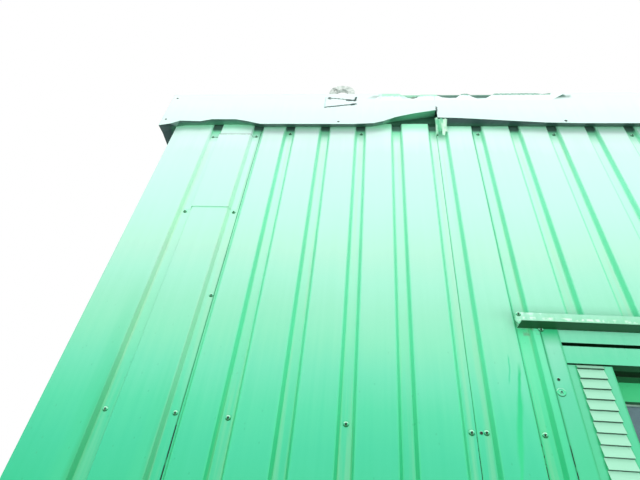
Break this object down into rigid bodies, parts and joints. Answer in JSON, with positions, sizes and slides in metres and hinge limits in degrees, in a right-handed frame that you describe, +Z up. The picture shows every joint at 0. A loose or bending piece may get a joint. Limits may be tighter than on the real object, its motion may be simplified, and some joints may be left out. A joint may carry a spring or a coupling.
{
  "type": "portable site cabin",
  "caption": "Portable site cabin on a steel base frame: profiled green steel cladding, folded roof-edge flashing, two windows with folded louvred steel shutters, a steel door, lifting eyes.",
  "frame": {"origin": "centre of the footprint, on the ground", "axes": "+X along the front wall to the right as seen from outside, +Y from the front wall to the back wall, +Z up"},
  "size_m": [6.064, 2.464, 2.8939],
  "materials": {
    "green_cladding": "satin",
    "green_flashing": "satin",
    "green_shutter": "satin",
    "green_joinery": "satin",
    "frame_paint": "matte",
    "galvanised_steel": "dull",
    "lifting_steel": "weathered",
    "panel_lining": "satin",
    "deck_board": "worn",
    "window_glass": "clear",
    "handle_metal": "satin"
  },
  "bodies": {
    "root": {"back_wall": "panel_lining", "base_rail_back": "frame_paint", "base_rail_front": "frame_paint", "base_rail_left": "frame_paint", "base_rail_right": "frame_paint", "cladding_back_1": "green_cladding", "cladding_back_2": "green_cladding", "cladding_back_3": "green_cladding", "cladding_corner_back_left": "green_cladding", "cladding_corner_back_right": "green_cladding", "cladding_corner_front_left": "green_cladding", "cladding_corner_front_right": "green_cladding", "cladding_door": "green_cladding", "cladding_front_left": "green_cladding", "cladding_front_right": "green_cladding", "cladding_infill_left": "green_cladding", "cladding_infill_right": "green_cladding", "cladding_left_end": "green_cladding", "cladding_right_end": "green_cladding", "cladding_window_left": "green_cladding", "cladding_window_right": "green_cladding", "corner_patch": "green_cladding", "door_flashing": "green_flashing", "door_frame": "green_joinery", "door_handle": "handle_metal", "door_hinges": "green_joinery", "door_leaf": "green_joinery", "fascia_back": "green_flashing", "fascia_front_1": "green_flashing", "fascia_front_2": "green_flashing", "fascia_front_3": "green_flashing", "fascia_left": "green_flashing", "fascia_right": "green_flashing", "floor_deck": "deck_board", "floor_joists": "frame_paint", "front_wall": "panel_lining", "head_flashing_left": "green_flashing", "head_flashing_right": "green_flashing", "jamb_trims_left": "green_flashing", "jamb_trims_right": "green_flashing", "left_wall": "panel_lining", "lifting_eyes": "lifting_steel", "right_wall": "panel_lining", "roof_panel": "panel_lining", "roof_rim": "frame_paint", "roof_sheet": "galvanised_steel", "shutter_track_left": "green_flashing", "shutter_track_right": "green_flashing", "shutters_left": "green_shutter", "shutters_right": "green_shutter", "window_frame_left": "green_joinery", "window_frame_right": "green_joinery", "window_glass_left": "window_glass", "window_glass_right": "window_glass", "window_sill_left": "green_flashing", "window_sill_right": "green_flashing"}
  },
  "joints": []
}
